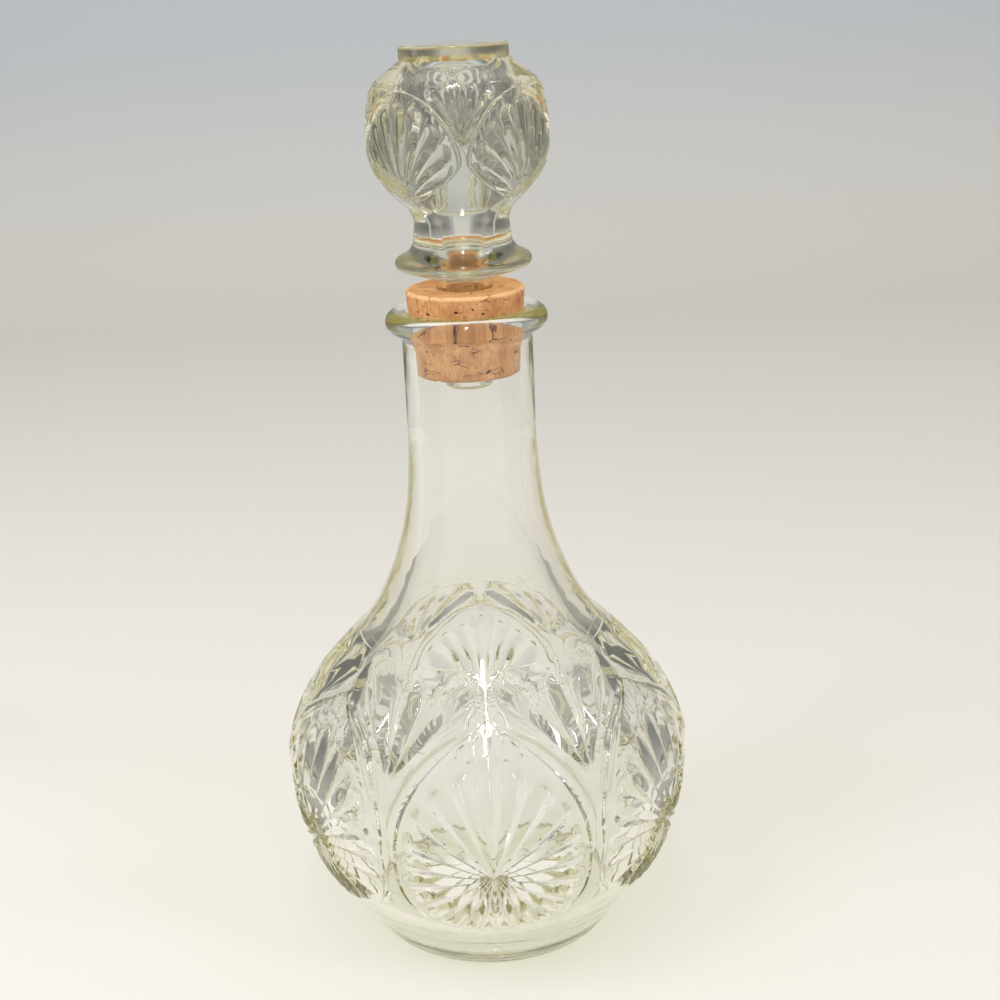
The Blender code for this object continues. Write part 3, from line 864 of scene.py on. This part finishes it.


# natural cork punched from bark: orange tan with fine upright grain, dark pits, cracks and a painted
# highlight along its top outer edge
def naturalCork():
    material, tree, shader = principled("naturalCork")
    look = corkLook
    place = tree.nodes.new("ShaderNodeTexCoord").outputs["Object"]
    pits, cracks = corkMarks(tree, place)

    def blend(share, first, second):
        share = share if isinstance(share, bpy.types.NodeSocket) else float(share)
        return addNode(tree, "ShaderNodeMix", {"data_type": "RGBA"}, n0=share, n6=first, n7=second).outputs[2]

    patches = addNode(
        tree, "ShaderNodeTexNoise", Vector=place, Scale=1 / (look["patch size"] * mm), Detail=3.0
    )
    low, high = look["patch contrast"]
    patches = addNode(
        tree, "ShaderNodeMapRange", Value=patches.outputs[0], From_Min=low, From_Max=high
    ).outputs[0]
    stretch = (1 / (look["grain across"] * mm),) * 2 + (1 / (look["grain along"] * mm),)
    fibres = addNode(tree, "ShaderNodeVectorMath", {"operation": "MULTIPLY"}, n0=place, n1=stretch).outputs[0]
    grain = addNode(
        tree, "ShaderNodeTexNoise", Vector=fibres, Scale=1.0, Detail=2.0, Roughness=0.6
    ).outputs[0]
    low, high = look["streak contrast"]
    streaks = addNode(
        tree, "ShaderNodeMapRange", Value=grain, From_Min=low, From_Max=high, To_Max=look["streak share"]
    ).outputs[0]
    tone = blend(patches, linear(look["tan"]), linear(look["brown"]))
    tone = blend(streaks, tone, linear(look["streak"]))

    split = addNode(tree, "ShaderNodeSeparateXYZ", Vector=place).outputs
    flat = addNode(tree, "ShaderNodeVectorMath", {"operation": "MULTIPLY"}, n0=place, n1=(1, 1, 0)).outputs[0]
    out = addNode(tree, "ShaderNodeVectorMath", {"operation": "LENGTH"}, n0=flat).outputs["Value"]
    # painted highlight: the top outer edge is lightened towards the pale rim colour
    edge = (corkRadius + cork["flare"]) * mm
    start, full = look["highlight in from side"]
    outer = addNode(
        tree, "ShaderNodeMapRange", Value=out, From_Min=edge - start * mm, From_Max=edge - full * mm
    ).outputs[0]
    start, full = look["highlight down from top"]
    upper = addNode(
        tree, "ShaderNodeMapRange",
        Value=split[2], From_Min=(corkTop - start) * mm, From_Max=(corkTop - full) * mm,
    ).outputs[0]
    rim = addNode(tree, "ShaderNodeMath", {"operation": "MULTIPLY"}, n0=outer, n1=upper).outputs[0]
    rim = addNode(tree, "ShaderNodeMath", {"operation": "MULTIPLY"}, n0=rim, n1=look["highlight share"]).outputs[0]
    tone = blend(rim, tone, linear(look["rim"]))
    tone = blend(cracks, tone, linear(look["crack"]))
    tone = blend(pits, tone, linear(look["pit"]))
    tree.links.new(tone, shader.inputs["Base Color"])
    least, most = look["roughness"]
    rough = addNode(tree, "ShaderNodeMapRange", Value=grain, To_Min=least, To_Max=most).outputs[0]
    tree.links.new(rough, shader.inputs["Roughness"])
    cells = addNode(tree, "ShaderNodeTexNoise", Vector=place, Scale=1 / (look["cell size"] * mm), Detail=2.0)
    height = addNode(tree, "ShaderNodeMath", {"operation": "ADD"}, n0=cells.outputs[0], n1=grain).outputs[0]
    bump = addNode(
        tree, "ShaderNodeBump", Height=height, Strength=look["bump share"], Distance=look["bump height"] * mm
    )
    tree.links.new(bump.outputs[0], shader.inputs["Normal"])
    return material


corkMaterial = naturalCork()

vessel = vesselTree()


def outline(radiusAt, heights):  # the line that a radius draws over these heights
    return [(float(radiusAt(np.array(z))), z) for z in heights]


def pressPanels(wall, name, pattern, radiusAt, glass):  # the pattern's panels all round a wall
    half = halfPanel(pattern, radiusAt)
    repeat = wall.modifiers.new("panels", "NODES")
    repeat.node_group = vessel
    setInputs(repeat, vessel, {
        "Half Panel": half, "Panels": pattern["panels"], "First Turn": math.radians(pattern["turned by"]),
        "Weld": weldGap * mm, "Glass": glass,
    })
    piece = plainMesh(wall, name, glass)
    bpy.data.objects.remove(half)
    return piece


def makeDecanter():
    b = bottle
    foot = bottlePattern["bottom"]
    heel = outline(bottleRadius, np.linspace(foot, foot * b["heel share"], 12))
    heel += arc(b["base radius"] - b["heel round"], b["heel round"], b["heel round"], 0, -90, 8)
    stand = b["base radius"] - b["heel round"] - b["stand width"]
    punt = b["punt depth"]
    under = [(stand, 0), (stand - punt, punt / 2), (stand / 2, punt), (0, punt)]
    heel = heel[:-1] + roundedLine([heel[-1]] + under, b["under rounds"], 4)
    low = b["floor"] + 2 * b["heel round"]
    inside = insetLine(bottleRadius, bottleWall, np.linspace(low, b["neck start"], 46))
    rim = inside[0][0]
    floor = [(0, b["floor"] + b["floor dish"]), (rim / 2, b["floor"] + b["floor dish"] / 2)]
    floor += [(rim - b["heel round"], b["floor"])] + inside[:2]
    inside = roundedLine(floor, b["floor rounds"], 5)[:-1] + inside[1:]
    mouth = corkSide(b["mouth level"]) + cork["gap"]
    inside += [(boreRadius, corkBottom)]
    inside += arc(mouth + b["mouth round"], b["mouth level"] - b["mouth round"], b["mouth round"], 180, 90, 4)
    bead = b["lip thickness"] / 2
    lip = arc(b["lip radius"] - bead, b["mouth level"] - bead, bead, 90, -60, 14)
    high, wide, bend, rounded = b["lip fillet"]
    neckTop = b["mouth level"] - b["lip thickness"] - high
    fillet = [lip[-1], (b["neck radius"] + wide, neckTop + bend), (b["neck radius"], neckTop)]
    fillet = roundedLine(fillet, (rounded,), 4)
    outside = outline(bottleRadius, np.linspace(neckTop, bottlePattern["top"], 44))
    wall = turnedWall("wall", (heel, inside + lip[:-1] + fillet[:-1] + outside), b["steps"])
    return pressPanels(wall, "decanter_glass", bottlePattern, bottleRadius, bottleGlass)


decanterGlass = makeDecanter()
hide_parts("decanter_body")
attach(decanterGlass, "decanter")
print("decanter made")


def makeStopper():
    s = stopper
    top = bossLevel + s["top"]
    rounded = s["collar round"]
    collar = [(0, top)] + arc(s["collar radius"] - rounded, top - rounded, rounded, 90, 0, 5)
    collar += [(s["collar radius"], bossLevel + s["collar"])]
    collar += outline(ballRadius, np.linspace(bossLevel + s["collar"], ballPattern["top"], 6)[1:])
    foot = outline(ballRadius, np.linspace(ballPattern["bottom"], bossLevel + s["waist"], 9))
    rim = bossLevel + s["flange"]
    sweep = s["flange radius"] - s["flange edge"]
    rootLevel = bossLevel + s["root"]
    outShare, upShare = s["flange sweep"]
    base = [
        (s["root radius"], rootLevel),
        (s["root radius"] + (sweep - s["root radius"]) * outShare, rim + (s["root"] - s["flange"]) * upShare),
    ]
    base += arc(sweep, rim, s["flange edge"], 60, -60, 6)
    base += [(s["boss radius"], bossLevel), (float(stemRadius(bossLevel)), bossLevel)]
    base = roundedLine([foot[-1]] + base[:2], (s["root round"],), 5)[1:] + base[2:]
    rounded = s["tip round"]
    tip = outline(stemRadius, np.linspace(bossLevel, tipLevel + rounded, 8)[1:])
    tip += arc(float(stemRadius(tipLevel)) - rounded, tipLevel + rounded, rounded, -15, -165, 7)
    bore = outline(stemRadius, np.linspace(tipLevel + rounded, bossLevel, 8))
    bore = [(r - s["stem wall"], z) for r, z in bore]
    narrow = float(stemRadius(bossLevel)) - s["stem wall"]
    shares = np.linspace(0, s["cavity end"], 23)
    cavity = list(zip(
        narrow + (s["cavity radius"] - narrow) * cavityShape(shares),
        bossLevel + s["waist"] + (s["collar"] - s["waist"]) * shares,
    ))
    roof = bossLevel + s["cavity roof"]
    dome = roundedLine([cavity[-2], cavity[-1], (cavity[-1][0] / 2, roof), (0, roof)], s["cavity rounds"], 4)
    inner = roundedLine([bore[-2], bore[-1], cavity[0], cavity[1]], s["bore rounds"], 3)[1:-1]
    inner += cavity[1:-1] + dome[1:]
    lower = foot + base + tip + bore[:-1] + inner
    wall = turnedWall("wall", (collar, lower), s["steps"], math.radians(s["turned by"]))
    return pressPanels(wall, "stopper_glass", ballPattern, ballRadius, stopperGlass)


stopperPiece = makeStopper()
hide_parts("stopper")
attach(stopperPiece, "stopper")
print("stopper made")


def pittedTree():  # pits and cracks pressed into the cork, where its colours have them
    tree = bpy.data.node_groups.new("pittedCork", "GeometryNodeTree")
    for name, kind in (
        ("Plug", "NodeSocketGeometry"), ("Pit Depth", "NodeSocketFloat"), ("Crack Depth", "NodeSocketFloat"),
        ("Cork", "NodeSocketMaterial"),
    ):
        tree.interface.new_socket(name, in_out="INPUT", socket_type=kind)
    tree.interface.new_socket("Pitted Plug", in_out="OUTPUT", socket_type="NodeSocketGeometry")
    given = tree.nodes.new("NodeGroupInput").outputs
    pits, cracks = corkMarks(tree, tree.nodes.new("GeometryNodeInputPosition").outputs[0])
    deep = addNode(
        tree, "ShaderNodeMath", {"operation": "MULTIPLY"}, n0=cracks, n1=given["Crack Depth"]
    ).outputs[0]
    deep = addNode(
        tree, "ShaderNodeMath", {"operation": "MULTIPLY_ADD"}, n0=pits, n1=given["Pit Depth"], n2=deep
    ).outputs[0]
    inwards = addNode(tree, "ShaderNodeMath", {"operation": "MULTIPLY"}, n0=deep, n1=-1.0).outputs[0]
    normal = tree.nodes.new("GeometryNodeInputNormal").outputs[0]
    offset = addNode(
        tree, "ShaderNodeVectorMath", {"operation": "SCALE"}, Vector=normal, Scale=inwards
    ).outputs[0]
    sunk = addNode(tree, "GeometryNodeSetPosition", Geometry=given["Plug"], Offset=offset).outputs[0]
    solid = addNode(tree, "GeometryNodeRealizeInstances", Geometry=sunk).outputs[0]
    done = addNode(tree, "GeometryNodeSetMaterial", Geometry=solid, Material=given["Cork"]).outputs[0]
    tree.links.new(done, tree.nodes.new("NodeGroupOutput").inputs[0])
    return tree


def makeCork():
    edge = cork["edge"]
    side = outline(corkSide, np.linspace(corkTop - edge, corkBottom + edge, cork["side rows"]))
    bore = outline(stemRadius, np.linspace(corkBottom, corkTop, cork["bore rows"]))
    bore = [(r + cork["gap"], z) for r, z in bore]
    top = np.linspace(bore[-1][0], corkSide(corkTop) - edge, cork["top rows"])
    low = np.linspace(corkSide(corkBottom) - edge, bore[0][0], cork["top rows"])
    line = [(float(r), corkTop) for r in top[1:]] + side + [(float(r), corkBottom) for r in low[:-1]] + bore
    plug = turnedWall("corkWall", (line + line[:1],), cork["steps"])
    tree = pittedTree()
    marks = plug.modifiers.new("marks", "NODES")
    marks.node_group = tree
    setInputs(marks, tree, {
        "Pit Depth": corkLook["pit depth"] * mm, "Crack Depth": corkLook["crack depth"] * mm,
        "Cork": corkMaterial,
    })
    return plainMesh(plug, "cork_plug", corkMaterial)


corkPlug = makeCork()
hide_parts("cork_sleeve")
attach(corkPlug, "cork")
print("cork made")

studio = {
    "camera height": 322.9,
    "camera distance": 506.9,
    "pitch": 18.6,
    "roll": 2.825,
    "lens": 57.6,
    "sensor": 36,
    "shift": (0.02454, 0.00121),
    "floor": "#E6E2DA",
    "wall": "#D0D5D9",
    "fade": 280,  # the floor's colour has turned into the wall's at this height
    "back": 1600,
    "corner": 600,
    "rise": 2000,
    "reach": 3000,
    "screen radius": 640,
    "screen height": 620,
    "screen foot": "#B4B2AE",
    "screen fade": 180,
    "screen tones": (  # by the angle from straight behind
        (8, "#B0B2B4"), (15, "#747678"), (28, "#5E6063"), (55, "#707274"), (90, "#8C8E90"), (125, "#B0B2B4"),
    ),
    "screen steps": 40,
    "paper roughness": 0.8,
    "screen roughness": 0.9,
    "sky": "#FFFFFF",
    "ground": "#CFCBC4",
    "sky fade": (-0.2, 0.7),
    "world": 0.60,
    "distance": "#C9CDD1",
    "aim height": 120,
    "turns of light": 32,
    "mirror turns": 24,
}
lamps = (  # name, place and size in metres, power, and whether the glass mirrors it
    ("keyLight", (-0.75, -0.45, 1.15), (0.5, 0.7), 8, False),
    ("topLight", (-0.02, -0.60, 1.20), (0.06, 0.6), 3, True),
    ("fillLight", (0.85, -0.6, 0.8), (0.12, 0.5), 4, False),
    ("leftWindow", (-1.0, -0.07, 0.43), (0.10, 0.25), 1.2, True),
    ("rightWindow", (0.99, -0.10, 1.66), (0.10, 0.40), 1.2, True),
)


def sheet(name, verts, faces, material):  # a plain mesh of the studio, which isn't part of the object
    mesh = bpy.data.meshes.new(name)
    mesh.from_pydata([Vector(v) * mm for v in verts], [], faces)
    mesh.shade_smooth()
    mesh.materials.append(material)
    made = bpy.data.objects.new(name, mesh)
    bpy.context.scene.collection.objects.link(made)
    return made


def paperSweep():  # matt paper: a pale floor that turns into a cooler pale wall
    material, tree, shader = principled("matPaper")
    place = tree.nodes.new("ShaderNodeTexCoord").outputs["Object"]
    height = addNode(tree, "ShaderNodeSeparateXYZ", Vector=place).outputs[2]
    fade = addNode(
        tree, "ShaderNodeMapRange", {"interpolation_type": "SMOOTHSTEP"},
        Value=height, From_Max=studio["fade"] * mm,
    ).outputs[0]
    tone = addNode(
        tree, "ShaderNodeMix", {"data_type": "RGBA"},
        n0=fade, n6=linear(studio["floor"]), n7=linear(studio["wall"]),
    )
    tree.links.new(tone.outputs[2], shader.inputs["Base Color"])
    shader.inputs["Roughness"].default_value = studio["paper roughness"]
    reach, corner = studio["reach"], studio["corner"]
    line = [(-reach, 0)] + arc(studio["back"] - corner, corner, corner, -90, 0, 24)
    line += [(studio["back"], studio["rise"])]
    n = len(line)
    verts = [(x, y, z) for x in (-reach, reach) for y, z in line]
    return sheet("paperSweep", verts, [(i + n, i + n + 1, i + 1, i) for i in range(n - 1)], material)


# curved screens that only the glass sees: their soft change from pale to dark draws its edges
def edgeScreens():
    material, tree, shader = principled("edgeScreen")
    place = tree.nodes.new("ShaderNodeTexCoord").outputs["Object"]
    split = addNode(tree, "ShaderNodeSeparateXYZ", Vector=place).outputs
    side = addNode(tree, "ShaderNodeMath", {"operation": "ABSOLUTE"}, n0=split[0]).outputs[0]
    # the turn is 0 straight behind the glass
    turn = addNode(tree, "ShaderNodeMath", {"operation": "ARCTAN2"}, n0=side, n1=split[1]).outputs[0]
    ramps = addNode(tree, "ShaderNodeValToRGB", Fac=addNode(
        tree, "ShaderNodeMath", {"operation": "DIVIDE"}, n0=turn, n1=math.pi
    ).outputs[0])
    stops = ramps.color_ramp.elements
    while len(stops) < len(studio["screen tones"]):
        stops.new(0.5)
    for stop, (angle, tone) in zip(stops, studio["screen tones"]):
        stop.position = angle / 180
        stop.color = linear(tone)
    rise = addNode(tree, "ShaderNodeMapRange", Value=split[2], From_Max=studio["screen fade"] * mm).outputs[0]
    tone = addNode(
        tree, "ShaderNodeMix", {"data_type": "RGBA"},
        n0=rise, n6=linear(studio["screen foot"]), n7=ramps.outputs[0],
    )
    tree.links.new(tone.outputs[2], shader.inputs["Base Color"])
    shader.inputs["Roughness"].default_value = studio["screen roughness"]
    first, last = studio["screen tones"][0][0], studio["screen tones"][-1][0]
    steps = studio["screen steps"]
    for name, way in (("screenLeft", -1), ("screenRight", 1)):
        turns = [math.radians(first + (last - first) * i / steps) for i in range(steps + 1)]
        verts = [
            (way * studio["screen radius"] * math.sin(a), studio["screen radius"] * math.cos(a), z)
            for a in turns for z in (1, studio["screen height"])
        ]
        made = sheet(name, verts, [(2 * i, 2 * i + 1, 2 * i + 3, 2 * i + 2) for i in range(steps)], material)
        made.visible_camera = made.visible_diffuse = made.visible_shadow = False


def softLight(name, place, size, power, mirrored):  # a soft box that faces the belly
    light = bpy.data.lights.new(name, "AREA")
    light.shape = "RECTANGLE"
    light.size, light.size_y = size
    light.energy = power
    made = bpy.data.objects.new(name, light)
    made.location = place
    made.visible_glossy = made.visible_transmission = mirrored
    aim = Vector((0, 0, studio["aim height"] * mm)) - Vector(place)
    made.rotation_euler = aim.to_track_quat("-Z", "Y").to_euler()
    bpy.context.scene.collection.objects.link(made)


def skyDome():  # even light from all round, brighter from above
    world = bpy.data.worlds.new("skyDome")
    bpy.context.scene.world = world
    world.use_nodes = True
    tree = world.node_tree
    ray = tree.nodes.new("ShaderNodeTexCoord").outputs["Generated"]
    height = addNode(tree, "ShaderNodeSeparateXYZ", Vector=ray).outputs[2]
    low, high = studio["sky fade"]
    fade = addNode(tree, "ShaderNodeMapRange", Value=height, From_Min=low, From_Max=high).outputs[0]
    tone = addNode(
        tree, "ShaderNodeMix", {"data_type": "RGBA"},
        n0=fade, n6=linear(studio["ground"]), n7=linear(studio["sky"]),
    )
    back = tree.nodes["Background"]
    tree.links.new(tone.outputs[2], back.inputs["Color"])
    back.inputs["Strength"].default_value = studio["world"]
    # the camera, and glass that mirrors or bends its view, see one plain tone past the paper's ends
    plain = addNode(tree, "ShaderNodeBackground", Color=linear(studio["distance"]))
    rays = tree.nodes.new("ShaderNodeLightPath").outputs
    largest = {"operation": "MAXIMUM"}
    mirrored = addNode(
        tree, "ShaderNodeMath", largest, n0=rays["Is Glossy Ray"], n1=rays["Is Transmission Ray"]
    ).outputs[0]
    straight = addNode(tree, "ShaderNodeMath", largest, n0=rays["Is Camera Ray"], n1=mirrored).outputs[0]
    seen = addNode(tree, "ShaderNodeMixShader", n0=straight, n1=back.outputs[0], n2=plain.outputs[0])
    tree.links.new(seen.outputs[0], tree.nodes["World Output"].inputs["Surface"])


paperSweep()
edgeScreens()
for lamp in lamps:
    softLight(*lamp)
skyDome()
cycles = bpy.context.scene.cycles  # light needs many turns inside thick glass, or parts of it go black
cycles.max_bounces = cycles.transmission_bounces = studio["turns of light"]
cycles.glossy_bounces = studio["mirror turns"]
cycles.caustics_refractive = cycles.caustics_reflective = False

cameraData = bpy.data.cameras.new("camera")
cameraData.lens = studio["lens"]
cameraData.sensor_width = studio["sensor"]
cameraData.shift_x, cameraData.shift_y = studio["shift"]
camera = bpy.data.objects.new("camera", cameraData)
bpy.context.scene.collection.objects.link(camera)
tilt = Matrix.Rotation(math.radians(90 - studio["pitch"]), 4, "X")
roll = Matrix.Rotation(math.radians(-studio["roll"]), 4, "Z")
stand = Matrix.Translation((0, -studio["camera distance"] * mm, studio["camera height"] * mm))
camera.matrix_world = stand @ tilt @ roll
bpy.context.scene.camera = camera
bpy.context.scene.view_settings.view_transform = "Standard"
print("stage set")
